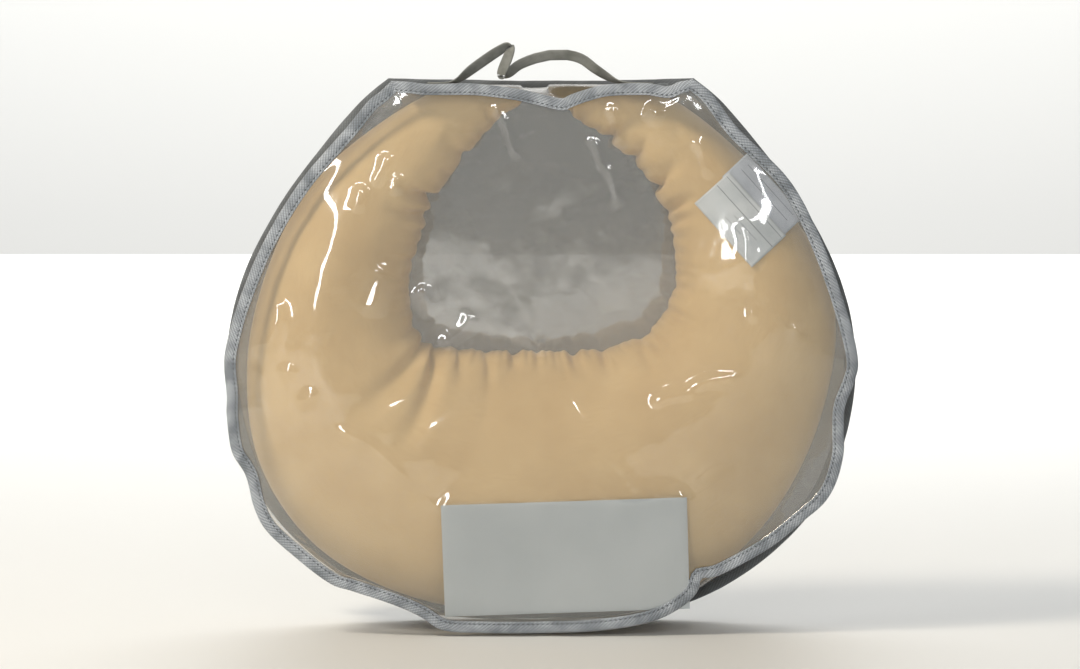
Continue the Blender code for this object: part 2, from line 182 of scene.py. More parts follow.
def positions(obj):
    """A mesh's points as an array."""
    flat = np.empty(len(obj.data.vertices) * 3)
    obj.data.vertices.foreach_get("co", flat)
    return flat.reshape(-1, 3)


def set_positions(obj, points):
    obj.data.vertices.foreach_set("co", np.asarray(points, np.float32).ravel())
    obj.data.update()


def ripple(x, z, size, seed):
    """Smooth noise from -1 to 1 with waves about size metres long."""
    return noise.noise(Vector((x / size, seed * 7.3, z / size)))


def beads(name, chains, material):
    """Small closed solids in one mesh; each is a list of rings with equally many points."""
    verts, faces = [], []
    for rings in chains:
        base, around = len(verts), len(rings[0])
        for ring in range(len(rings) - 1):
            for k in range(around):
                a, b = base + ring * around + k, base + ring * around + (k + 1) % around
                faces.append((a, b, b + around, a + around))
        last = base + around * (len(rings) - 1)
        faces.append(tuple(base + k for k in range(around))[::-1])
        faces.append(tuple(last + k for k in range(around)))
        verts += [point for ring in rings for point in ring]
    mesh = bpy.data.meshes.new(name)
    mesh.from_pydata(verts, [], faces)
    solid = finish_mesh(name, mesh, material)
    point_outwards(solid)
    return solid


def ripples(line, seed, first, second, share):
    """Coarse and fine noise at each place of a line of x, z."""
    return np.array([ripple(x, z, first, seed[0]) + share * ripple(x, z, second, seed[1]) for x, z in line])


def part_of(piece, body, slot, *nodes):
    """Says which body a piece moves with and the CAD nodes it stands for; its slot is not used."""
    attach(piece, body)
    if nodes:
        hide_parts(*nodes)
    return piece


# %% [markdown]
# ## Helpers for materials
# Every finish is one Principled shader with a few pattern nodes in front of it. Colours are
# written as the hex values a designer would pick, and one function makes them linear.


# %% Colours and nodes
def colour(hexa):
    """An sRGB hex colour as linear RGBA."""
    parts = [int(hexa[i:i + 2], 16) / 255 for i in (1, 3, 5)]
    linear = [c / 12.92 if c <= 0.04045 else ((c + 0.055) / 1.055) ** 2.4 for c in parts]
    return (*linear, 1.0)


def new_material(name, base, roughness, **sockets):
    """A material and its shader, with plain values on the shader's own sockets."""
    material = bpy.data.materials.new(name)
    material.use_nodes = True
    shader = material.node_tree.nodes["Principled BSDF"]
    shader.inputs["Base Color"].default_value = colour(base)
    shader.inputs["Roughness"].default_value = roughness
    for socket, value in sockets.items():
        shader.inputs[socket.replace("_", " ")].default_value = value
    return material, shader


def add_node(material, kind, links=(), **settings):
    """One node with its settings; links are (input, value or socket) pairs."""
    node = material.node_tree.nodes.new(kind)
    for key, value in settings.items():
        setattr(node, key, value)
    for socket, value in links:
        if isinstance(value, bpy.types.NodeSocket):
            material.node_tree.links.new(value, node.inputs[socket])
        else:
            node.inputs[socket].default_value = value
    return node


def place(material, scale, use_uv=False, turn=0.0):
    """Coordinates for a pattern that repeats 1 / scale metres apart."""
    source = add_node(material, "ShaderNodeTexCoord")
    coordinates = source.outputs["UV" if use_uv else "Object"]
    return add_node(material, "ShaderNodeMapping",
                    [("Vector", coordinates), ("Rotation", (0, 0, math.radians(turn))),
                     ("Scale", scale if hasattr(scale, "__len__") else (scale,) * 3)]).outputs[0]


def mottle(material, per_metre, **settings):
    """Noise whose lumps lie about 1 / per_metre metres apart; settings are its own sockets."""
    links = [("Vector", place(material, per_metre)), ("Scale", 1.0)]
    return add_node(material, "ShaderNodeTexNoise", links + list(settings.items())).outputs[0]


WAVE_SCALE = 1 / 3.2               # a wave texture at scale 1 has about 3.2 waves to the unit


def threads(material, per_metre, turn=0, **settings):
    """Threads that lie side by side, per_metre to the metre; settings are the wave's sockets."""
    links = [("Vector", place(material, per_metre, use_uv=True, turn=turn)), ("Scale", WAVE_SCALE)]
    links += [(socket.replace("_", " "), value) for socket, value in settings.items()]
    return add_node(material, "ShaderNodeTexWave", links).outputs[1]


def product(material, first, second):
    links = [(0, first), (1, second)]
    return add_node(material, "ShaderNodeMath", links, operation="MULTIPLY").outputs[0]


def mixed(material, share, first, second):
    """A blend of two colours; share is a number or a socket."""
    return add_node(material, "ShaderNodeMix", [(0, share), (6, first), (7, second)],
                    data_type="RGBA").outputs[2]


def stretched(material, value, low, high, to_low=0.0, to_high=1.0):
    """A value's range moved to another range, and clamped."""
    return add_node(material, "ShaderNodeMapRange",
                    [(0, value), (1, low), (2, high), (3, to_low), (4, to_high)]).outputs[0]


def bumped(material, shader, height, depth, strength=1.0):
    """Feeds a height pattern into the shader as a bump of depth metres."""
    before = shader.inputs["Normal"].links
    links = [("Height", height), ("Distance", depth), ("Strength", strength)]
    if before:
        links.append(("Normal", before[0].from_socket))
    bump = add_node(material, "ShaderNodeBump", links)
    material.node_tree.links.new(bump.outputs[0], shader.inputs["Normal"])


def paint(material, shader, socket, value):
    material.node_tree.links.new(value, shader.inputs[socket])


# %% [markdown]
# ## Cotton casing
# Plain-woven quilting cotton, washed and unbleached tan. To the eye it is matt, with a very
# fine square weave, faint slubs along the threads and slow changes of tone. Its threads lie
# about 0.4 mm apart, which would not show, so the weave is drawn at 1.1 mm.


# %% Cotton
WEAVE = 1.1 * MM


def make_cotton():
    material, shader = new_material("unbleached_cotton", "#D4B47C", 0.86,
                                    Sheen_Weight=0.25, Sheen_Roughness=0.5)
    tone = mottle(material, 14, Detail=4.0)
    lengthways = place(material, (60, 900, 1), use_uv=True)
    slub = add_node(material, "ShaderNodeTexNoise",
                    [("Vector", lengthways), ("Scale", 1.0), ("Detail", 3.0)])
    slow = stretched(material, tone, 0.3, 0.7)
    body = mixed(material, slow, colour("#CBAA73"), colour("#DBBC86"))
    streak = stretched(material, slub.outputs[0], 0.45, 0.75, 0.0, 0.35)
    body = mixed(material, streak, body, colour("#BE9C66"))
    warp, weft = [threads(material, 1 / WEAVE, turn, Distortion=1.2, Detail=1.0, Detail_Scale=1.5)
                  for turn in (0, 90)]
    height = product(material, warp, weft)
    # The weave's low places are painted darker: painted shade between the threads.
    painted_dip_shade = stretched(material, height, 0.0, 0.5, 0.10, 0.0)
    paint(material, shader, "Base Color", mixed(material, painted_dip_shade, body, colour("#9C8458")))
    bumped(material, shader, height, 0.10 * MM, 0.25)
    return material


COTTON = make_cotton()


def grained(name, light, dark, roughness, grain, depth, **sockets):
    """A finish with a two-tone mottle and a fine bump, both about grain metres across."""
    material, shader = new_material(name, light, roughness, **sockets)
    pattern = mottle(material, 1 / grain, Detail=4.0)
    tone = stretched(material, pattern, 0.35, 0.65)
    paint(material, shader, "Base Color", mixed(material, tone, colour(dark), colour(light)))
    bumped(material, shader, pattern, depth, 0.6)
    return material


FIBRE = grained("polyester_fibre_fill", "#E9E6DC", "#D8D3C4", 1.0, 4 * MM, 0.8 * MM, Sheen_Weight=0.4)

# %% [markdown]
# ## Clear vinyl
# Soft PVC film, calendered smooth, 0.3 mm thick. It shows what lies behind it, adds a faint
# grey veil and mirrors every lamp as a sharp bright streak where it ripples. A low Alpha gives
# the veil, and a raised IOR keeps the mirrored share as strong as the real film's.


# %% Vinyl
def make_vinyl(name, base, alpha, roughness=0.07, gloss=1.0):
    """Film: alpha is the share of its veil, gloss the strength of what it mirrors."""
    material, shader = new_material(name, base, roughness, Alpha=alpha, IOR=1.5 + gloss / 2,
                                    Specular_IOR_Level=gloss, Coat_Weight=gloss, Coat_IOR=2.0,
                                    Coat_Roughness=0.04)
    bumped(material, shader, mottle(material, 34, Detail=2.5, Roughness=0.45), 1.6 * MM, 0.5)
    return material


def paint_room_shade_by_height(material, low, high, start, end):
    """Paints a film darker from start to end metres above the floor: painted shade for the dim room seen
    through it.
    """
    height = add_node(material, "ShaderNodeSeparateXYZ", [("Vector", place(material, 1.0))]).outputs[2]
    share = stretched(material, height, start, end)
    shader = material.node_tree.nodes["Principled BSDF"]
    paint(material, shader, "Base Color", mixed(material, share, colour(low), colour(high)))


VINYL = make_vinyl("clear_pvc_film", "#C9CBC6", 0.13)
# The back panel is clear film; its dark base, high Alpha and darkening upwards are painted shade: the dim
# room seen through the bag, darker higher up.
VINYL_BACK_ROOM_SHADE = make_vinyl("pvc_back_film_painted_room_shade", "#5A564C", 0.76)
paint_room_shade_by_height(VINYL_BACK_ROOM_SHADE, "#8F897D", "#453F36", 0.25, 0.38)
# The gusset is the same clear film with a darker base and more Alpha: painted shade for the dim margins
# between the pillow and the tape.
VINYL_SIDE_SHADED = make_vinyl("clear_pvc_gusset_film_painted_shade", "#8B867D", 0.27)
# The top strips are clear film too; their dark base and half Alpha are painted shade that dims the top of the
# pillow seen through them.
VINYL_TOP_SHADED = make_vinyl("pvc_top_film_painted_shade", "#69665C", 0.50, roughness=0.25, gloss=0.15)

# %% [markdown]
# ## Grey tape, strap, labels, card and zip
# The binding and the strap are polyester twill tape, with fine diagonal ribs that catch light
# on one side. Real ribs lie about 0.8 mm apart and would not show, so the binding's are drawn
# at 2.2 mm and the strap's at 1.2 mm. The labels are woven satin, the card is coated board.


# %% Twill tape
def make_twill(name, light, dark, rib=2.2 * MM, contrast=0.62, sheen=0.3):
    material, shader = new_material(name, light, 0.74, Sheen_Weight=sheen)
    ribs = threads(material, 1 / rib, 52, Distortion=0.9, Detail=1.5, Detail_Scale=2.0)
    both = product(material, ribs, threads(material, 1.6 / rib, -38, Distortion=0.6))
    # Patches of lighter and darker tape at random: painted light and shade, as a kinked tape shows.
    patchy_light_and_shade = stretched(material, mottle(material, 75, Detail=5.0), 0.36, 0.64)
    tone = mixed(material, patchy_light_and_shade, colour(dark), colour(light))
    # The ribs' low places are painted darker: painted shade in the grooves of the twill.
    painted_dip_shade = stretched(material, both, 0.0, 0.5, contrast, 0.0)
    paint(material, shader, "Base Color", mixed(material, painted_dip_shade, tone, colour("#4A4D50")))
    bumped(material, shader, both, 0.25 * MM, 0.8)
    return material


TAPE = make_twill("grey_twill_binding", "#C3C9D0", "#8B9299")
# The rear tape is the same grey twill as the front, painted darker: painted shade, as it lies behind the
# front rim.
TAPE_REAR_SHADED = make_twill("grey_twill_binding_rear_painted_shade", "#7B8083", "#666A6C")
STRAP = make_twill("grey_folded_strap", "#94958E", "#777871", rib=1.2 * MM, contrast=0.3)
ZIP_TAPE = make_twill("grey_zip_tape", "#8D9194", "#787C7F", rib=1.2 * MM, contrast=0.4)
THREAD = grained("grey_sewing_thread", "#555B60", "#3D4347", 0.55, 0.6 * MM, 0.05 * MM, Sheen_Weight=0.2)


# %% Labels and card
def make_label(name="white_satin_label", dark="#B4BABE", light="#CDD1D3"):
    """Woven white satin: near-white, soft sheen along the threads."""
    material, shader = new_material(name, light, 0.5, Sheen_Weight=0.3)
    bumped(material, shader, threads(material, 1 / (0.7 * MM), Distortion=0.5), 0.05 * MM, 0.6)
    tone = stretched(material, mottle(material, 40), 0.35, 0.65)
    paint(material, shader, "Base Color", mixed(material, tone, colour(dark), colour(light)))
    return material


def make_card():
    """Coated board: smooth pale blue-grey with a faint mottle."""
    material, shader = new_material("coated_card_board", "#B6BDC0", 0.42)
    tone = stretched(material, mottle(material, 9, Detail=5.0), 0.35, 0.7)
    paint(material, shader, "Base Color", mixed(material, tone, colour("#A9B0B4"), colour("#BCC2C5")))
    bumped(material, shader, mottle(material, 700), 0.03 * MM, 0.5)
    return material


LABEL, CARD = make_label(), make_card()
LABEL_SHORT = make_label("bluish_satin_label", "#A9AFBA", "#BCC2CC")
INK = grained("grey_label_ink", "#63676A", "#505457", 0.6, 0.8 * MM, 0.02 * MM)
COIL = grained("grey_nylon_coil", "#94989A", "#7D8183", 0.38, 1.5 * MM, 0.03 * MM)
ZINC = grained("grey_enamelled_zinc", "#8B9092", "#6F7476", 0.34, 3 * MM, 0.03 * MM, Coat_Weight=0.4)

# %% [markdown]
# ## The pillow
# Two C-shaped pieces of cotton are sewn together along the inner and the outer edge and
# stuffed. The inner edge is the shorter one, so the cloth gathers there in small folds that run
# out over the front. Ribs placed round the C give its outline; the folds are pressed in one by
# one, and then a cloth simulation blows the casing up so that it settles like real cloth.

# %% Ribs of the pillow: inner edge x, z, outer edge x, z, and half thickness, in mm
RIBS = (
    (-15, 458, -17, 474, 12), (-37, 438, -50, 476, 31), (-66, 412, -92, 468, 47),
    (-96, 374, -148, 434, 60), (-106, 349, -199, 388, 67), (-118, 307, -236, 320, 70),
    (-112, 270, -256, 235, 70), (-90, 255, -246, 145, 70), (-62, 248, -195, 70, 70),
    (-31, 246, -108, 25, 69), (0, 246, 0, 12.5, 69), (35, 247, 112, 26, 69),
    (64, 252, 184, 78, 70), (97, 268, 232, 152, 70), (117, 300, 256, 240, 70),
    (119, 334, 250, 304, 70), (111, 362, 226, 350, 67), (93, 394, 184, 404, 61),
    (63, 422, 120, 457, 50), (39, 438, 64, 474, 34), (20, 452, 27, 477, 22),
    (6, 462, 7, 476, 12),
)
STATIONS, AROUND = 300, 72
FULLNESS = 2.3                     # exponent of the tube's section; 2 is an ellipse

# Listed folds: start at the inner edge x, z and end x, z in mm, depth and width in mm
FOLDS = (
    (-92, 372, -124, 391, 10, 5.5), (-110, 362, -136, 374, 5, 6), (-66, 408, -84, 421, 4, 6),
    (-88, 246, -128, 164, 8, 8), (-96, 256, -170, 196, 6, 9), (-104, 268, -132, 250, 3, 8),
    (-70, 251, -74, 214, 3.5, 5), (-47, 250, -50, 205, 3.5, 5), (-24, 249, -25, 230, 4, 4.5),
    (-6, 249, -6, 226, 3, 4.5), (24, 249, 25, 232, 4, 4.5), (50, 250, 53, 226, 3, 5),
    (84, 256, 92, 222, 3, 5.5), (94, 258, 112, 236, 4, 7), (117, 277, 138, 266, 3, 6),
    (118, 300, 134, 296, 3, 5), (116, 356, 140, 364, 4, 5), (113, 368, 138, 378, 6, 5),
    (100, 386, 124, 408, 7, 5.5), (78, 408, 98, 426, 5, 5.5), (58, 426, 80, 446, 6, 5.5),
)


def small_gathers(inner, out):
    """Short folds a finger's width apart, between the listed ones."""
    chance = random.Random(7)
    folds, step = [], 6
    while step < len(inner) - 6:
        start = inner[step]
        end = start + out[step] * chance.uniform(12, 26) * MM
        folds.append((*start / MM, *end / MM, chance.uniform(1.0, 2.4), chance.uniform(3.5, 5.0)))
        step += chance.randint(3, 6)
    return folds


def beside_line(x, z, x0, z0, x1, z1):
    """Each place's share of the way along a line, its distance beside it, and the line's length."""
    run = np.array((x1 - x0, z1 - z0)) * MM
    length = np.linalg.norm(run)
    run /= length
    dx, dz = x - x0 * MM, z - z0 * MM
    return (dx * run[0] + dz * run[1]) / length, dx * run[1] - dz * run[0], length


def press_folds(x, z, folds):
    """How deep the cloth is pressed in at each place, in metres."""
    depth = np.zeros(x.shape)
    for x0, z0, x1, z1, deep, wide in folds:
        along, beside, length = beside_line(x, z, x0, z0, x1, z1)
        beside = beside + 0.10 * length * np.sin(along * 2.4)
        fade = np.where(along < 0, np.exp(-(along * length / (9 * MM)) ** 2),
                        np.clip(1 - along, 0, 1) ** 0.8)
        spread = wide * MM * (0.55 + 0.7 * np.clip(along, 0, 1))
        depth += deep * MM * fade * np.exp(-(beside / spread) ** 2)
    return depth


def power(value, exponent):
    return np.sign(value) * np.abs(value) ** exponent


def pillow_rows():
    """Rows of points round the tube, one row at each station along the C."""
    ribs = through([[v * MM for v in rib] for rib in RIBS], STATIONS)
    turn = (2 * np.pi * np.arange(AROUND) / AROUND)[None]
    across = power(np.cos(turn), 2 / FULLNESS)
    deep = power(np.sin(turn), 2 / FULLNESS)
    middle = (ribs[:, 0:2] + ribs[:, 2:4]) / 2
    half = (ribs[:, 2:4] - ribs[:, 0:2]) / 2
    thick = ribs[:, 4:5]
    x = middle[:, 0:1] - half[:, 0:1] * across
    z = middle[:, 1:2] - half[:, 1:2] * across
    y = -thick * deep
    reach = np.linalg.norm(half, axis=1)[:, None]
    normal = np.stack([-half[:, 0:1] * across, -deep * reach, -half[:, 1:2] * across], axis=2)
    normal /= np.linalg.norm(normal, axis=2, keepdims=True)
    gathers = small_gathers(ribs[:, 0:2], half / reach)
    pressed = press_folds(x, z, [*FOLDS, *gathers])
    pressed = np.minimum(1.5 * pressed, 13 * MM)
    return np.stack([x, y, z], axis=2) - normal * pressed[:, :, None]


def close_ends(obj, rows, columns):
    """Closes a tube of skin at its first and last ring."""
    with editing(obj) as bm:
        for start in (0, (rows - 1) * columns):
            ring = [bm.verts[start + i] for i in range(columns)]
            bmesh.ops.contextual_create(bm, geom=ring)
        bmesh.ops.triangulate(bm, faces=[f for f in bm.faces if len(f.verts) > 4])
    obj.data.shade_smooth()


pillow = skin("pillow", pillow_rows(), COTTON, closed_columns=True)
close_ends(pillow, STATIONS, AROUND)
point_outwards(pillow)


# %% Blow the casing up as cloth
def settle(obj, frames=16, pressure=3.0, cap=5 * MM):
    """Cloth under pressure, with the inner seam drawn in; no point moves more than cap."""
    before = positions(obj)
    group = obj.vertex_groups.new(name="seam")
    ring = np.arange(len(before)) % AROUND
    for near, weight in ((0, 1.0), (1, 0.5), (AROUND - 1, 0.5)):
        group.add(np.nonzero(ring == near)[0].tolist(), weight, "REPLACE")
    cloth = obj.modifiers.new("Cloth", "CLOTH")
    cloth.settings.quality = 4
    cloth.settings.use_pressure = True
    cloth.settings.uniform_pressure_force = pressure
    cloth.settings.effector_weights.gravity = 0
    cloth.settings.vertex_group_shrink = "seam"
    cloth.settings.shrink_max = 0.12
    cloth.settings.tension_stiffness = 25
    cloth.settings.compression_stiffness = 12
    cloth.settings.bending_stiffness = 0.3
    cloth.collision_settings.use_collision = False
    scene = bpy.context.scene
    cloth.point_cache.frame_start, cloth.point_cache.frame_end = 1, frames
    for number in range(1, frames + 1):
        scene.frame_set(number)
    choose(obj)
    bpy.ops.object.modifier_apply(modifier=cloth.name)
    moved = positions(obj) - before
    length = np.linalg.norm(moved, axis=1, keepdims=True)
    shortened = np.minimum(length, cap * np.tanh(length / cap))
    set_positions(obj, before + moved * shortened / np.maximum(length, 1e-9))
    scene.frame_set(1)
    print("cloth moved the casing by up to", round(float(length.max()) / MM, 1), "mm")


settle(pillow)
TOP_FRONT, REAR_DROP, SOFT = 473 * MM, 12 * MM, 3 * MM    # the bag's top presses the pillow down
points = positions(pillow)
ceiling = TOP_FRONT - REAR_DROP * ramp((points[:, 1] - 2 * MM) / (12 * MM))
pressed = ceiling - SOFT * np.exp(-(points[:, 2] - ceiling + SOFT) / SOFT)
points[:, 2] = np.where(points[:, 2] > ceiling - SOFT, pressed, points[:, 2])
set_positions(pillow, points)
apply_modifier(pillow, "SUBSURF", levels=1, render_levels=1)
print("pillow:", len(pillow.data.vertices), "points")

# %% [markdown]
# ## Front half, back half and filling
# On the bench the casing is two cut pieces, so the settled tube is cut along its middle plane,
# and each half gets the thickness of the cloth. The filling is the same tube, a little smaller.


# %% Cut the casing in two
SEAM_GAP = 0.15 * MM               # each half stays this far from the middle plane
CLOTH_THICK = 0.8 * MM
FILL_INSET = 2.2 * MM


def copy_of(obj, name):
    twin = bpy.data.objects.new(name, obj.data.copy())
    bpy.context.scene.collection.objects.link(twin)
    return twin


def half_of(obj, name, side):
    """The part of a mesh in front of (side -1) or behind (side 1) the middle plane."""
    twin = copy_of(obj, name)
    with editing(twin) as bm:
        bmesh.ops.bisect_plane(bm, geom=bm.verts[:] + bm.edges[:] + bm.faces[:], dist=1e-6,
                               plane_co=(0, side * SEAM_GAP, 0), plane_no=(0, side, 0), clear_inner=True)
    apply_modifier(twin, "SOLIDIFY", thickness=CLOTH_THICK, offset=-1)
    return twin


casing_front = half_of(pillow, "cover_front", -1)
casing_back = half_of(pillow, "cover_back", 1)
filling = copy_of(pillow, "fibre_filling")
filling.data.materials[0] = FIBRE
with editing(filling) as bm:
    for vert in bm.verts:
        vert.co -= vert.normal * FILL_INSET
part_of(casing_front, BAG, "cotton_casing", "casing_front")
part_of(casing_back, BAG, "cotton_casing", "casing_back")
part_of(filling, BAG, "fibre_fill", "fibre_fill")
PILLOW_TREE = BVHTree.FromObject(pillow, bpy.context.evaluated_depsgraph_get())
bpy.data.objects.remove(pillow)

# %% [markdown]
# ## The two rims
# A rim is the line that a panel and the gusset share. Their edges are turned out together and
# go into a folded tape, so each rim is a flat ring 10 mm wide. The front rim is pulled about by
# the pillow: it dips in the middle of the top, and kinks round the lower corners. The rear rim
# keeps the shape it was cut to.

# %% Outer edges of the rims, in mm, left shoulder to right shoulder, then down and round
FRONT_TOP = ((-128, 478), (-112, 477.5), (-97, 476), (-62, 476), (-42, 474.5), (-18, 471), (0, 467),
             (17.5, 463), (24, 465.5), (38, 470.5), (57, 475), (90, 476), (108, 473.5),
             (118, 477.5), (129, 479))
FRONT_SIDE = ((129, 480), (141, 472), (150, 462), (168, 438), (193, 414), (212, 394), (230, 364),
              (249, 320), (265, 271), (272, 238), (269, 220), (261, 198), (260, 176), (260, 158),
              (254, 134), (244, 116), (227, 101), (196, 76), (160, 56), (147, 51), (138, 50),
              (134, 38), (119, 24), (93, 12), (50, 5), (0, 3), (-50, 3), (-84, 5), (-104, 17),
              (-126, 27), (-162, 39), (-182, 46), (-210, 67), (-236, 91), (-247, 112), (-254, 139),
              (-266, 160), (-270, 190), (-270, 208), (-272, 232), (-270, 252), (-259, 290),
              (-238, 340), (-207, 391), (-165, 440), (-149, 460), (-139, 468), (-128, 478))
REAR_TOP = ((-134, 478), (-60, 476.5), (0, 476), (60, 476), (134, 478))
REAR_SIDE = ((134, 478), (158, 458), (194, 416), (232, 364), (264, 300), (277, 235), (271, 170),
             (248, 110), (212, 66), (163, 30), (110, 8), (60, 1), (0, 0.5), (-60, 1), (-110, 8),
             (-163, 30), (-212, 66), (-248, 110), (-271, 170), (-277, 235), (-264, 300),
             (-232, 364), (-194, 416), (-158, 458), (-134, 478))
TOP_STEPS, SIDE_STEPS = 100, 380
TAPE_WIDTH = 10 * MM


class Rim:
    """The ring of one panel: outer edge, outward direction and depth at each step."""

    def __init__(self, top, side, depth, waves, seed):
        top_line = through(np.array(top) * MM, TOP_STEPS + 1)
        side_line = through(np.array(side) * MM, SIDE_STEPS + 1)
        line = np.concatenate([top_line[:-1], side_line[:-1]])
        run = smoothed(np.roll(line, -1, axis=0) - np.roll(line, 1, axis=0), 2)
        run /= np.linalg.norm(run, axis=1, keepdims=True)
        self.edge = line
        self.out = np.stack([-run[:, 1], run[:, 0]], axis=1)
        wave = ripples(line, (seed, seed + 1), 0.055, 0.022, 0.5)
        self.depth = depth + waves * smoothed(wave, 2)

    def at(self, out, deep, steps=None):
        """Points out metres from the inner edge of the tape and deep behind the rim's middle."""
        flat = self.edge + self.out * (np.asarray(out) - TAPE_WIDTH)
        line = np.stack([flat[:, 0], self.depth + deep, flat[:, 1]], axis=1)
        return line if steps is None else line[steps]


HALF_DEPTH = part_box("bag_gusset")[1][1]
front_rim = Rim(FRONT_TOP, FRONT_SIDE, -HALF_DEPTH, 2.5 * MM, 3)
rear_rim = Rim(REAR_TOP, REAR_SIDE, HALF_DEPTH, 1.0 * MM, 5)
TOP = np.arange(TOP_STEPS + 1)
SIDE = np.arange(TOP_STEPS, TOP_STEPS + SIDE_STEPS + 1) % (TOP_STEPS + SIDE_STEPS)

# %% [markdown]
# ## Labels
# Two satin labels are caught in the outer seam and lie flat on the casing, so each is a grid
# of points dropped onto the pillow. They carry plain rules and no words.


# %% Drop a sheet onto the pillow
def on_pillow(x, z, lift):
    """The casing's front at a place, lifted off by a little; None beside the pillow."""
    hit = PILLOW_TREE.ray_cast(Vector((x, -0.3, z)), Vector((0, 1, 0)))
    return hit[0].y - lift if hit[0] is not None else None


STEEPEST = 0.5                     # a label falls away no steeper than this


def laid_label(centre, size, tilt, lift, curl, steps=(36, 22)):
    """A label dropped on the casing, bridging its small folds; its corners curl up."""
    turn = math.radians(tilt)
    sides = [np.linspace(-0.5, 0.5, count + 1) for count in steps]
    u, v = np.meshgrid(*sides, indexing="ij")
    x = centre[0] + u * size[0] * math.cos(turn) - v * size[1] * math.sin(turn)
    z = centre[1] + u * size[0] * math.sin(turn) + v * size[1] * math.cos(turn)
    touch = [on_pillow(a, b, lift) for a, b in zip(x.ravel(), z.ravel())]
    need = np.array([9.0 if t is None else t for t in touch])
    spots = np.stack([x.ravel(), z.ravel()], axis=1)
    apart = np.linalg.norm(spots[:, None] - spots[None], axis=2)
    need = (need[None] + STEEPEST * apart).min(axis=1).reshape(u.shape)
    y = need
    for _ in range(12):
        wide = np.pad(y, 1, mode="edge")
        y = np.minimum(need, (wide[:-2, 1:-1] + wide[2:, 1:-1] + wide[1:-1, :-2] + wide[1:-1, 2:]) / 4)
    y = y - curl * np.abs(2 * u) ** 4 * np.abs(2 * v) ** 2
    return np.stack([x, y, z], axis=2)


def label_piece(name, node, material, centre, size, tilt, lift, curl, rules):
    rows = laid_label(centre, size, tilt, lift, curl)
    label = thickened(skin(name, rows, material), 0.25 * MM)
    part_of(label, BAG, "label_cloth", node)
    for number, (across, start, end, wide) in enumerate(rules):
        count, width = rows.shape[:2]
        shares = np.linspace(start, end, 24)
        lines = []
        for side in (-0.5, 0.5):
            j = across * (width - 1) + side * wide / size[1] * (width - 1)
            line = []
            for share in shares:
                i = share * (count - 1)
                i0, j0 = min(int(i), count - 2), min(int(j), width - 2)
                a, b = i - i0, j - j0
                point = ((rows[i0, j0] * (1 - a) + rows[i0 + 1, j0] * a) * (1 - b)
                         + (rows[i0, j0 + 1] * (1 - a) + rows[i0 + 1, j0 + 1] * a) * b)
                line.append(point - np.array((0, 0.2 * MM, 0)))
            lines.append(line)
        rule = thickened(skin(f"{name}_rule_{number + 1}", lines, INK), 0.06 * MM)
        part_of(rule, BAG, "label_cloth")
    return label


LONG = (73 * MM, 40 * MM)
SHORT = (73 * MM, 30 * MM)
# Rules: place across the label, start and end along it, as shares, and width
LONG_RULES = ((0.62, 0.02, 0.98, 0.5 * MM), (0.9, 0.02, 0.98, 0.4 * MM), (0.46, 0.42, 0.80, 0.35 * MM),
              (0.30, 0.36, 0.62, 0.35 * MM))
SHORT_RULES = ((0.55, 0.1, 0.9, 0.35 * MM), (0.78, 0.1, 0.9, 0.35 * MM))
LABEL_TILT = -48                   # degrees
label_short = label_piece("care_label_short_cloth", "care_label_short", LABEL_SHORT, (0.1905, 0.379),
                          SHORT, LABEL_TILT, 0.5 * MM, 0.5 * MM, SHORT_RULES)
label_long = label_piece("care_label_long_cloth", "care_label_long", LABEL, (0.1705, 0.3595),
                         LONG, LABEL_TILT, 1.1 * MM, 1.5 * MM, LONG_RULES)

# %% [markdown]
# ## Insert card
# A blank board stands in the bag's bottom and leans on the pillow. It is stiff, so it stays
# nearly flat: one straight lean that just clears the casing, with a slight bow.

# %% Card
CARD_SIZE = (211 * MM, 98 * MM)
CARD_THICK = 0.5 * MM


def card_piece():
    """A board shaped from a primitive grid, leant back on the pillow and bowed a little."""
    low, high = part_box("insert_card")
    centre_x, foot = (low[0] + high[0]) / 2, low[2] + 6 * MM
    turn = math.radians(1.9)
    bpy.ops.object.select_all(action="DESELECT")
    bpy.ops.mesh.primitive_grid_add(x_subdivisions=40, y_subdivisions=20, size=1)
    card = bpy.context.active_object
    card.name = card.data.name = "insert_card_board"
    points = positions(card)
    u, v = points[:, 0], points[:, 1] + 0.5
    x = centre_x + u * CARD_SIZE[0] * math.cos(turn) - (v - 0.5) * CARD_SIZE[1] * math.sin(turn)
    z = foot + 3.5 * MM + u * CARD_SIZE[0] * math.sin(turn) + v * CARD_SIZE[1] * math.cos(turn)
    touch = [on_pillow(a, b, 0.6 * MM) for a, b in zip(x, z)]
    need = np.array([0.0 if t is None else t for t in touch])
    foot_y = -HALF_DEPTH + 1.5 * MM
    slope = min(0.0, float(np.min((need - foot_y) / np.maximum(v, 0.15))))
    bow = -0.8 * MM * np.cos(u * math.pi)
    y = foot_y + slope * v + bow * v
    set_positions(card, np.stack([x, y, z], axis=1))
    card.data.materials.append(CARD)
    card.data.shade_smooth()
    apply_modifier(card, "SOLIDIFY", thickness=CARD_THICK, offset=0)
    apply_modifier(card, "BEVEL", width=0.12 * MM, segments=2, limit_method="ANGLE")
    point_outwards(card)
    return part_of(card, BAG, "insert_card", "insert_card")


card = card_piece()
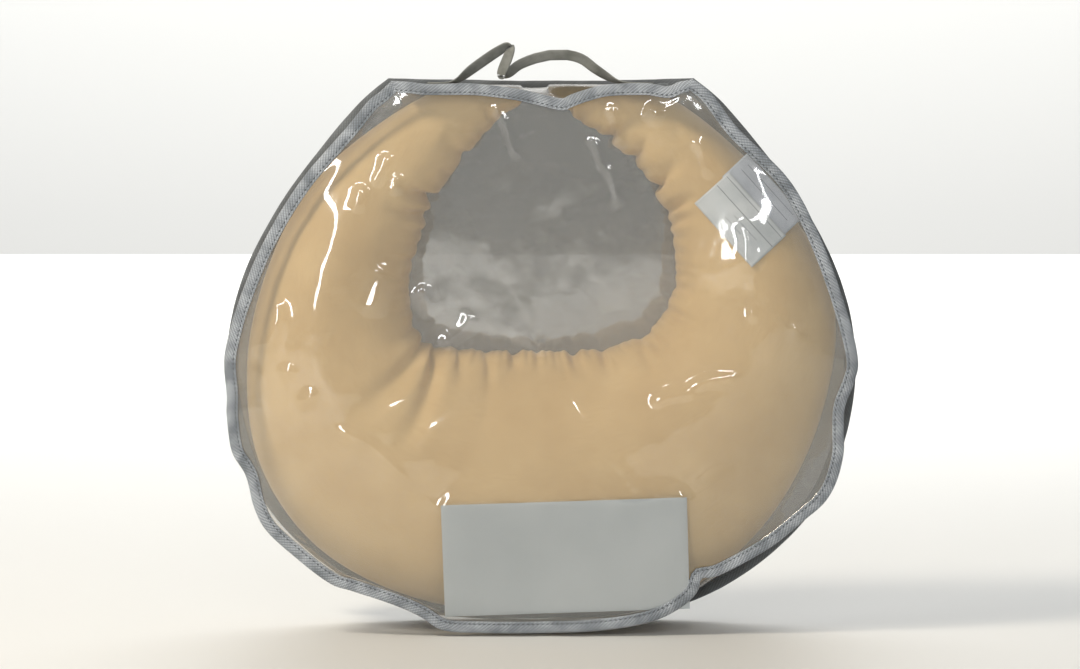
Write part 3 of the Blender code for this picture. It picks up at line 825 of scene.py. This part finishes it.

# %% [markdown]
# ## Vinyl panels
# The front panel is one sheet stretched over the pillow. A stretched film takes the shortest
# way over what it covers, so it is found by relaxing: every point moves to the mean of its
# neighbours unless the pillow, a label or the card is in the way. Ripples come on top.


# %% Listed creases of the front film: from x, z to x, z in mm, width and height in mm
FILM_CREASES = (
    (-32, 467, -38, 453, 3.2, 1.3), (-38, 453, -19, 415, 3.2, 1.2), (42, 430, 55, 405, 3.2, 1.3),
    (55, 405, 69, 374, 3.0, 1.2), (58, 456, 70, 424, 3.4, 1.3), (90, 455, 102, 446, 6, 2.2),
    (132, 428, 146, 399, 4.5, 1.6), (-133, 415, -140, 390, 5, 1.8), (-125, 398, -123, 383, 4.5, 1.6),
    (-155, 388, -156, 368, 5, 1.8), (-228, 292, -233, 246, 8, 3.0), (-137, 320, -142, 280, 6, 2.2),
    (-106, 301, -90, 284, 7, 2.4), (-60, 277, -82, 252, 6, 2.0), (-196, 212, -204, 200, 5, 1.8),
    (-178, 180, -87, 117, 4.5, 1.2), (96, 202, 128, 215, 6, 1.8), (128, 215, 166, 228, 5, 1.6),
    (172, 356, 178, 318, 5, 1.8), (178, 318, 184, 274, 4.5, 1.4), (217, 270, 221, 252, 5, 1.8),
    (134, 131, 166, 156, 5, 1.3), (-222, 225, -214, 232, 5, 1.8), (62, 110, 96, 118, 4.5, 1.0),
)


def film_creases(x, z, creases):
    """Raised creases that break off and start again along their length."""
    rise = np.zeros(x.shape)
    for x0, z0, x1, z1, wide, high in creases:
        along, beside, length = beside_line(x, z, x0, z0, x1, z1)
        beside = beside + 0.05 * length * np.sin(along * 5)
        ends = ramp((along + 0.12) / 0.25) * ramp((1.12 - along) / 0.25)
        rise += high * MM * ends * np.exp(-(beside / (wide * MM)) ** 2)
    return rise


# %% Stretch a film over what is behind it
def things_in_front(*pieces):
    graph = bpy.context.evaluated_depsgraph_get()
    return [BVHTree.FromObject(piece, graph) for piece in pieces]


def reach_of(trees, x, z, side):
    """How far out of the middle plane the things reach at a place."""
    start, way = Vector((x, side * 0.3, z)), Vector((0, -side, 0))
    hits = [tree.ray_cast(start, way)[0] for tree in trees]
    return max([side * hit.y for hit in hits if hit is not None], default=0.0)


CENTRE = np.array((0.0, 0.245))
RINGS, RELAXATIONS = 84, 500
FILM_GAP = 1.1 * MM                # between a panel and what it covers


def stretched_panel(name, rim, side, trees, material, slack, seed, creases=()):
    """A film from its rim to its middle, relaxed over the things behind it."""
    edge = rim.at(0.2 * MM, 0)
    flat = edge[:, [0, 2]]
    shares = 1 - np.linspace(0, 1, RINGS + 1)[:-1] ** 1.15
    grid = CENTRE + (flat[None] - CENTRE) * shares[:, None, None]
    need = np.array([[reach_of(trees, x, z, side) for x, z in ring] for ring in grid])
    need = np.where(need > 0, need + FILM_GAP, 0)
    need[0] = 0
    height = np.repeat((side * edge[:, 1])[None], RINGS, axis=0)
    height = np.maximum(height, need)
    for _ in range(RELAXATIONS):
        inward, outward = height[2:], height[:-2]
        beside = (np.roll(height[1:-1], 1, axis=1) + np.roll(height[1:-1], -1, axis=1)) / 2
        mean = (inward + outward) / 2
        height[1:-1] = np.maximum(need[1:-1], 0.72 * mean + 0.28 * beside)
        height[-1] = height[-2].mean()
    fade = ramp((1 - shares) / 0.05)[:, None]
    waves = np.array([[0.9 * ripple(x, z, 0.075, seed) + 0.4 * ripple(x, z * 0.6, 0.030, seed + 2)
                       + 0.16 * ripple(x, z * 0.5, 0.011, seed + 4) for x, z in ring] for ring in grid])
    height += fade * (slack + waves * 1.3 * MM)
    height = np.maximum(height, need)
    height[1:-1] = (height[1:-1] * 2 + height[2:] + height[:-2]) / 4
    height += fade * film_creases(grid[:, :, 0], grid[:, :, 1], creases)
    rows = [rim.at(TUCK, side * 0.3 * MM)]
    rows += [np.stack([ring[:, 0], side * level, ring[:, 1]], axis=1) for ring, level in zip(grid, height)]
    panel = skin(name, rows, material, closed_columns=True)
    close_middle(panel, len(rows), len(edge))
    point_outwards(panel)
    return thickened(panel, FILM_THICK)


def close_middle(obj, rows, columns):
    """Closes the last ring of a skin with a fan."""
    with editing(obj) as bm:
        ring = [bm.verts[(rows - 1) * columns + i] for i in range(columns)]
        middle = bm.verts.new(sum((v.co for v in ring), Vector()) / columns)
        for i in range(columns):
            bm.faces.new((ring[i], ring[(i + 1) % columns], middle))


front_trees = things_in_front(casing_front, label_short, label_long, card)
front_panel = stretched_panel("front_panel_film", front_rim, -1, front_trees, VINYL, 0.8 * MM, 11,
                              FILM_CREASES)
back_panel = stretched_panel("back_panel_film", rear_rim, 1, things_in_front(casing_back), VINYL_BACK_ROOM_SHADE,
                             0.5 * MM, 21)
part_of(front_panel, BAG, "clear_vinyl", "bag_front_panel")
part_of(back_panel, BAG, "clear_vinyl", "bag_back_panel")


# %% [markdown]
# ## Gusset and top strips
# One strip of film runs down one side, under the pillow and up the other. Two more close the
# top, with the zip between them. All are skins from rim to rim, with ripples across.


# %% Gusset
MIDDLE_HEIGHT = 0.24               # metres, of the line that the gusset runs round
PILLOW_GAP = 1.2 * MM


def film_between(first, last, rows, waves, seed):
    """A film between two lines of points, with ripples that fade at its edges."""
    lines = []
    for i in range(rows + 1):
        t = i / rows
        line = first * (1 - t) + last * t
        lift = waves * math.sin(math.pi * t)
        for k, (x, y, z) in enumerate(line):
            wave = ripple(x + y * 0.7, z, 0.05, seed) + 0.5 * ripple(x, z + y, 0.021, seed + 1)
            radial = Vector((x, 0, z - MIDDLE_HEIGHT)).normalized()
            line[k] += np.array(radial) * lift * (wave - 0.2)
        lines.append(line)
    return lines


def clear_of_pillow(lines, gap):
    """Pushes a film's inner lines out to where they clear the casing, without sharp steps."""
    lines = np.array(lines)
    middle = np.array((0, MIDDLE_HEIGHT))
    arms = lines[:, :, [0, 2]] - middle
    reach = np.linalg.norm(arms, axis=2, keepdims=True)
    ways = arms / reach
    need = np.zeros(reach.shape)
    for i, j in np.ndindex(reach.shape[:2]):
        way = Vector((ways[i, j, 0], 0, ways[i, j, 1]))
        start = Vector((0, lines[i, j, 1], MIDDLE_HEIGHT)) + way * 0.4
        hit = PILLOW_TREE.ray_cast(start, -way)[0]
        if hit is not None:
            need[i, j] = 0.4 - (start - hit).length + gap
    for axis, times in ((0, 2), (1, 4)):
        for _ in range(times):
            need = np.maximum(need, np.maximum(np.roll(need, 1, axis=axis), np.roll(need, -1, axis=axis)))
    need = smoothed(need.transpose(1, 0, 2), 4, closed=False).transpose(1, 0, 2)
    reach[1:-1] = np.maximum(reach, need)[1:-1]
    lines[:, :, [0, 2]] = middle + ways * reach
    lines[:, :, 2] = np.maximum(lines[:, :, 2], 0.6 * MM)
    return list(lines)


gusset_rows = film_between(front_rim.at(-0.3 * MM, 0.6 * MM, SIDE),
                           rear_rim.at(-0.3 * MM, -0.6 * MM, SIDE), 16, 2.2 * MM, 31)
gusset_rows = clear_of_pillow(gusset_rows, PILLOW_GAP)
gusset_rows = [front_rim.at(TUCK, 0.5 * MM, SIDE), front_rim.at(1.0 * MM, 0.5 * MM, SIDE), *gusset_rows,
               rear_rim.at(1.0 * MM, -0.5 * MM, SIDE), rear_rim.at(TUCK, -0.5 * MM, SIDE)]
gusset = thickened(skin("gusset_film", gusset_rows, VINYL_SIDE_SHADED), FILM_THICK)
part_of(gusset, BAG, "clear_vinyl", "bag_gusset")


# %% Top strips
TOP_CROWN = {-1: 4.2, 1: 1.0}        # mm that the front and the rear strip stand up in the middle


def top_of_pillow(x, y):
    """The highest point of the casing at a place, or a level well under the film."""
    hit = PILLOW_TREE.ray_cast(Vector((x, y, 0.6)), Vector((0, 0, -1)))[0]
    return max(hit.z, 0.45) if hit is not None else 0.45


def top_film(name, node, rim, side, seed):
    """A film from a rim's top edge to the zip."""
    edge = rim.at(0, -side * 0.6 * MM, TOP)
    strip_low, strip_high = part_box(node)
    zip_side = strip_high[1] if side < 0 else strip_low[1]
    inner = edge.copy()
    inner[:, 1] = zip_side
    inner[:, 2] = ZIP_LEVEL
    shares = np.linspace(0, 1, 25)[:, None, None]
    lines = edge * (1 - shares) + inner * shares
    lines[:, :, 2] = edge[:, 2] + (inner[:, 2] - edge[:, 2]) * ramp(shares[:, :, 0] * 1.3)
    waves = np.array([[ripple(x, y, 0.045, seed) + 0.5 * ripple(x, y, 0.018, seed + 1) for x, y, z in line]
                      for line in lines])
    lines[:, :, 2] += (waves * 0.8 + TOP_CROWN[side]) * MM * np.sin(math.pi * shares[:, :, 0])
    need = np.array([[top_of_pillow(x, y) for x, y, z in line] for line in lines])
    wide = np.pad(need, ((2, 2), (4, 4)), mode="edge")
    rows, columns = need.shape
    need = np.max([wide[i:i + rows, j:j + columns] for i in range(5) for j in range(9)], axis=0)
    need = smoothed(smoothed(need, 2, closed=False).T, 4, closed=False).T + 1.0 * MM
    lines[1:-1, :, 2] = np.maximum(lines, need[:, :, None])[1:-1, :, 2]
    lines = [rim.at(TUCK, -side * 0.5 * MM, TOP), rim.at(1.0 * MM, -side * 0.5 * MM, TOP), *lines]
    film = thickened(skin(name, lines, VINYL_TOP_SHADED), FILM_THICK)
    return part_of(film, BAG, "clear_vinyl", node)


ZIP_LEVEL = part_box("zipper_tape_front")[1][2] + 0.6 * MM
top_front = top_film("top_film_front", "bag_top_strip_front", front_rim, -1, 41)
top_rear = top_film("top_film_rear", "bag_top_strip_rear", rear_rim, 1, 43)

# %% [markdown]
# ## Binding tape
# A twill tape is folded over the turned-out edges. Its section is a flat U with rounded fold
# and a shallow trough where the thread pulls it in. Sweeping that section round the rim gives
# the tape, and a short stitch is laid in the trough every 4.2 mm on both sides.

# %% Tape and stitches
TAPE_SECTION = ((0.0, -1.5), (0.5, -1.75), (1.5, -1.7), (2.3, -1.35), (3.1, -1.75), (5.0, -1.95),
                (7.5, -1.8), (9.2, -1.25), (10.0, -0.35), (10.0, 0.35), (9.2, 1.25), (7.5, 1.8),
                (5.0, 1.95), (3.1, 1.75), (2.3, 1.35), (1.5, 1.7), (0.5, 1.75), (0.0, 1.5),
                (0.0, 0.8), (8.4, 0.8), (8.4, -0.8), (0.0, -0.8))
STITCH_AT, STITCH_PITCH, STITCH_LENGTH, THREAD_RADIUS = 2.3 * MM, 4.2 * MM, 2.4 * MM, 0.45 * MM
STITCH_PROFILE = ((0.35, -0.5), (1, 0.35), (1, 0.35), (0.35, -0.5))    # size and rise, end to end
PUFF, DRIFT = 0.22, 3.2 * MM       # how much the tape swells, and how far it leans


def tape_round(name, node, rim, seed, material):
    """The folded tape swept round one rim; gives back how it puffs and leans at each step."""
    puff = ripples(rim.edge, (seed, seed + 2), 0.011, 0.005, 0.6)
    lean = ripples(rim.edge, (seed + 1, seed + 3), 0.040, 0.015, 0.5)
    lines = []
    for out, deep in TAPE_SECTION:
        swell = 1 + PUFF * puff
        drift = DRIFT * lean * out / 10
        lines.append(rim.at(out * MM * (1 + 0.05 * lean)[:, None], deep * MM * swell + drift))
    rows = np.array(lines).transpose(1, 0, 2)
    tape = skin(name, rows, material, closed_rows=True, closed_columns=True)
    point_outwards(tape)
    part_of(tape, BAG, "binding_tape", node)
    return puff, lean


def thread_along(name, line, face, closed=False):
    """Stitches laid along a line of points, proud of a surface that faces one way."""
    line = np.concatenate([line, line[:1]]) if closed else line
    along = np.concatenate([[0], np.cumsum(np.linalg.norm(np.diff(line, axis=0), axis=1))])
    chains = []
    for number in range(int(along[-1] / STITCH_PITCH)):
        start = number * STITCH_PITCH
        ends = [np.array([np.interp(start + part * STITCH_LENGTH, along, line[:, k]) for k in range(3)])
                for part in (0, 0.25, 0.75, 1)]
        across = Vector(ends[3] - ends[0]).cross(face).normalized()
        turns = [math.pi * k / 3 for k in range(6)]
        round_thread = [across * math.cos(turn) * 1.25 + face * math.sin(turn) for turn in turns]
        chains.append([[Vector(centre) + (offset * size + face * rise) * THREAD_RADIUS
                        for offset in round_thread]
                       for centre, (size, rise) in zip(ends, STITCH_PROFILE)])
    return beads(name, chains, THREAD)


def stitches(name, rim, puff, lean, side):
    """The stitches in the tape's trough on one side of the rim."""
    line = rim.at(STITCH_AT, 0)
    line[:, 1] += side * 1.42 * MM * (1 + PUFF * puff) + DRIFT * lean * 0.23
    return part_of(thread_along(name, line, Vector((0, side, 0)), closed=True), BAG, "binding_tape")


for end, rim, seed, material in (("front", front_rim, 51, TAPE), ("rear", rear_rim, 57, TAPE_REAR_SHADED)):
    puff, lean = tape_round(f"{end}_tape", f"{end}_binding", rim, seed, material)
    stitches(f"{end}_tape_stitches_front", rim, puff, lean, -1)
    stitches(f"{end}_tape_stitches_rear", rim, puff, lean, 1)

# %% [markdown]
# ## Zip
# A coil zip closes the top. Its two tapes are woven polyester and are sewn under the edges of
# the top film. On each a nylon thread is wound into loops that look like small rounded teeth,
# one set half a step from the other. Slider, pull tab and stops are cast zinc, enamelled grey:
# the working model's own shapes are right, so they only get the finish.

# %% Tapes, teeth and seams
TOOTH_PITCH = 2.0 * MM
TOOTH_PROFILE = ((0.0, 0.5), (0.14, 0.95), (0.55, 0.85), (0.9, 0.85), (1.0, 0.5))  # way along, size
SEAM_IN, SEAM_HALF_LENGTH = 2 * MM, 112 * MM


def zip_tape(side, node):
    """A woven tape with a faint wave, from one end of its node to the other."""
    low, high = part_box(node)
    rows = []
    for x in np.linspace(low[0], high[0], 121):
        lift = 0.25 * MM * ripple(x, high[1], 0.03, 71)
        rows.append([(x, y, (low[2] + high[2]) / 2 + lift) for y in np.linspace(low[1], high[1], 9)])
    tape = thickened(skin(f"zip_tape_{side}", rows, ZIP_TAPE), high[2] - low[2])
    part_of(tape, BAG, "zipper_tape", node)


def zip_teeth(side, node, shift):
    """The rounded loops of one coil."""
    low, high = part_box(node)
    radius, level = (high[2] - low[2]) / 2, (low[2] + high[2]) / 2
    turns = [math.pi * k / 4 for k in range(8)]
    count = int((high[0] - low[0]) / TOOTH_PITCH) - 1
    chains = []
    for number in range(count):
        x = low[0] + (number + 0.75 + shift) * TOOTH_PITCH
        chains.append([[(x + 0.75 * radius * size * math.cos(turn), low[1] + (high[1] - low[1]) * share,
                         level + radius * size * math.sin(turn)) for turn in turns]
                       for share, size in TOOTH_PROFILE])
    print(side, "zip teeth:", count)
    part_of(beads(f"zip_teeth_{side}", chains, COIL), BAG, "zipper_coil", node)


for side, shift, sign in (("front", 0.0, -1), ("rear", 0.5, 1)):
    zip_tape(side, f"zipper_tape_{side}")
    zip_teeth(side, f"zipper_coil_{side}", shift)
    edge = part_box(f"bag_top_strip_{side}")[1 if sign < 0 else 0][1] + sign * SEAM_IN
    seam = np.array([(x, edge, ZIP_LEVEL + 0.75 * MM)
                     for x in np.linspace(-SEAM_HALF_LENGTH, SEAM_HALF_LENGTH, 60)])
    part_of(thread_along(f"zip_seam_{side}", seam, Vector((0, 0, 1))), BAG, "zipper_tape")

for node in ("zip_stop_left", "zip_stop_right", "zip_slider", "zip_pull_tab"):
    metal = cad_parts[node]
    metal.data.materials.clear()
    metal.data.materials.append(ZINC)

# %% [markdown]
# ## Strap handle
# The strap is sewn flat to the top film at both ends. In between it stands in an arch with one
# sharp fold on the left. It is a ribbon swept along a given line, turned about that line
# so that its face leans to the front over the arch.

# %% Strap: x, y, z in mm and the lean of its face in degrees, from the left end
STRAP_LINE = (
    (-98, -20, 475.4, 0), (-88, -20, 475.4, 0), (-79, -20, 475.8, 6), (-71, -19.5, 478.5, 30),
    (-60, -18.5, 487, 62), (-46, -18, 497, 70), (-36, -18, 503.5, 62), (-29, -18, 507.6, 40),
    (-26, -18.5, 508, 0), (-26, -19.5, 505, -40), (-29, -20.5, 497, -66), (-33, -21, 487, -66),
    (-34.5, -21, 482, -40), (-32, -20.5, 480.5, 0), (-27.5, -19.5, 484, 50), (-18, -18.5, 491.5, 66),
    (0, -18.5, 498, 72), (18, -18.5, 500, 72), (34, -18.5, 496.5, 68), (46, -18.5, 488, 60),
    (56, -18.5, 481.5, 44), (65, -19, 477, 20), (74, -20, 475.6, 4), (84, -20, 475.4, 0), (97, -20, 475.4, 0),
)
STRAP_SECTION = ((-4.6, -0.45), (-4.0, -0.75), (-2.0, -0.7), (0, -0.65), (2.0, -0.7), (4.0, -0.75),
                 (4.6, -0.45), (4.8, 0), (4.6, 0.45), (4.0, 0.75), (2.0, 0.7), (0, 0.65), (-2.0, 0.7),
                 (-4.0, 0.75), (-4.6, 0.45), (-4.8, 0))


def strap_frames(count=260):
    """Points along the strap with its width and thickness directions."""
    line = through([[x * MM, y * MM, z * MM, math.radians(a)] for x, y, z, a in STRAP_LINE], count)
    way = np.gradient(line[:, :3], axis=0)
    way /= np.linalg.norm(way, axis=1, keepdims=True)
    frames = []
    for (x, y, z, lean), run in zip(line, way):
        run = Vector(run)
        side = Vector((0, -1, 0))
        side = (side - run * side.dot(run)).normalized()
        up = run.cross(side).normalized()
        if up.z < 0:
            up = -up
        wide = side * math.cos(lean) + up * math.sin(lean)
        frames.append((Vector((x, y, z)), wide, run.cross(wide).normalized()))
    return frames


def strap_piece():
    rows = [[centre + wide * a * MM + thick * b * MM for a, b in STRAP_SECTION]
            for centre, wide, thick in strap_frames()]
    strap = skin("handle_strap_tape", rows, STRAP, closed_columns=True)
    close_ends(strap, len(rows), len(STRAP_SECTION))
    point_outwards(strap)
    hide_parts("handle_strap", "handle_end_left", "handle_end_right")
    return strap


strap = strap_piece()
for side, middle in (("left", -87), ("right", 86)):
    corners = [(middle - 9, -23), (middle + 9, -23), (middle + 9, -17), (middle - 9, -17)]
    box_seam = np.array([(x * MM, y * MM, 476.2 * MM) for x, y in corners])
    part_of(thread_along(f"handle_box_seam_{side}", box_seam, Vector((0, 0, 1)), closed=True),
            BAG, "strap_webbing")
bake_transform(strap)

# %% [markdown]
# ## Floor, lights and camera
# A pale floor and wall, a soft key from the upper left, and three slim lamps that the vinyl
# mirrors as streaks. The camera looks straight at the front from a little above.


# %% Stage
def soft_lamp(name, place_at, aim, size, watts, tint):
    """A rectangular lamp pointed at a place."""
    data = bpy.data.lights.new(name, "AREA")
    data.shape = "RECTANGLE"
    data.size, data.size_y = size
    data.energy = watts
    data.color = colour(tint)[:3]
    lamp = bpy.data.objects.new(name, data)
    lamp.location = place_at
    lamp.rotation_euler = (Vector(aim) - Vector(place_at)).to_track_quat("-Z", "Y").to_euler()
    bpy.context.scene.collection.objects.link(lamp)


MIDDLE = Vector((0, 0, 0.25))
LAMPS = (                          # name, place, aim, size in metres, watts, colour
    ("key", (-1.9, -1.2, 2.4), MIDDLE, (0.8, 0.8), 66, "#FFF4E2"),
    ("fill", (2.2, -2.0, 1.2), MIDDLE, (1.6, 1.6), 1.5, "#F2F6FF"),
    ("window_upright", (-1.0, -3.4, 0.95), MIDDLE, (0.20, 1.2), 21, "#FFFFFF"),
    ("window_level", (-0.1, -3.4, 1.65), MIDDLE, (0.9, 0.16), 12, "#FFFFFF"),
    ("window_right", (0.95, -3.4, 1.3), MIDDLE, (0.12, 0.6), 6, "#FFFFFF"),
    ("behind", (0.3, 2.2, 1.8), MIDDLE, (1.8, 1.0), 10, "#FFFFFF"),
    ("wall_wash", (0, 4.2, 5.0), (0, 8, 0.6), (6.0, 1.0), 620, "#FFFFFF"),
)
for lamp in LAMPS:
    soft_lamp(*lamp)

FLOOR, _ = new_material("pale_floor", "#DEDEDB", 0.6)
for name, size, spot, pitch in (("floor", 12, (0, 0, 0), 0), ("pale_wall", 24, (0, 8, 6), math.pi / 2)):
    bpy.ops.object.select_all(action="DESELECT")
    bpy.ops.mesh.primitive_plane_add(size=size, location=spot, rotation=(pitch, 0, 0))
    plane = bpy.context.active_object
    plane.name = name
    plane.data.materials.append(FLOOR)

world = bpy.data.worlds.new("studio")
bpy.context.scene.world = world
world.use_nodes = True
world.node_tree.nodes["Background"].inputs[0].default_value = colour("#EFF1F3")
world.node_tree.nodes["Background"].inputs[1].default_value = 0.30

CAMERA_DISTANCE, CAMERA_RISE = 4.5, 4.0      # metres, degrees above level
TARGET = Vector((-0.001, 0, 0.2565))
lens = bpy.data.cameras.new("camera")
lens.lens = 172.5
camera = bpy.data.objects.new("camera", lens)
rise = math.radians(CAMERA_RISE)
camera.location = TARGET + Vector((0, -math.cos(rise), math.sin(rise))) * CAMERA_DISTANCE
camera.rotation_euler = (TARGET - camera.location).to_track_quat("-Z", "Y").to_euler()
bpy.context.scene.collection.objects.link(camera)
bpy.context.scene.camera = camera
bpy.context.scene.view_settings.view_transform = "Standard"
bpy.context.scene.cycles.transparent_max_bounces = 32
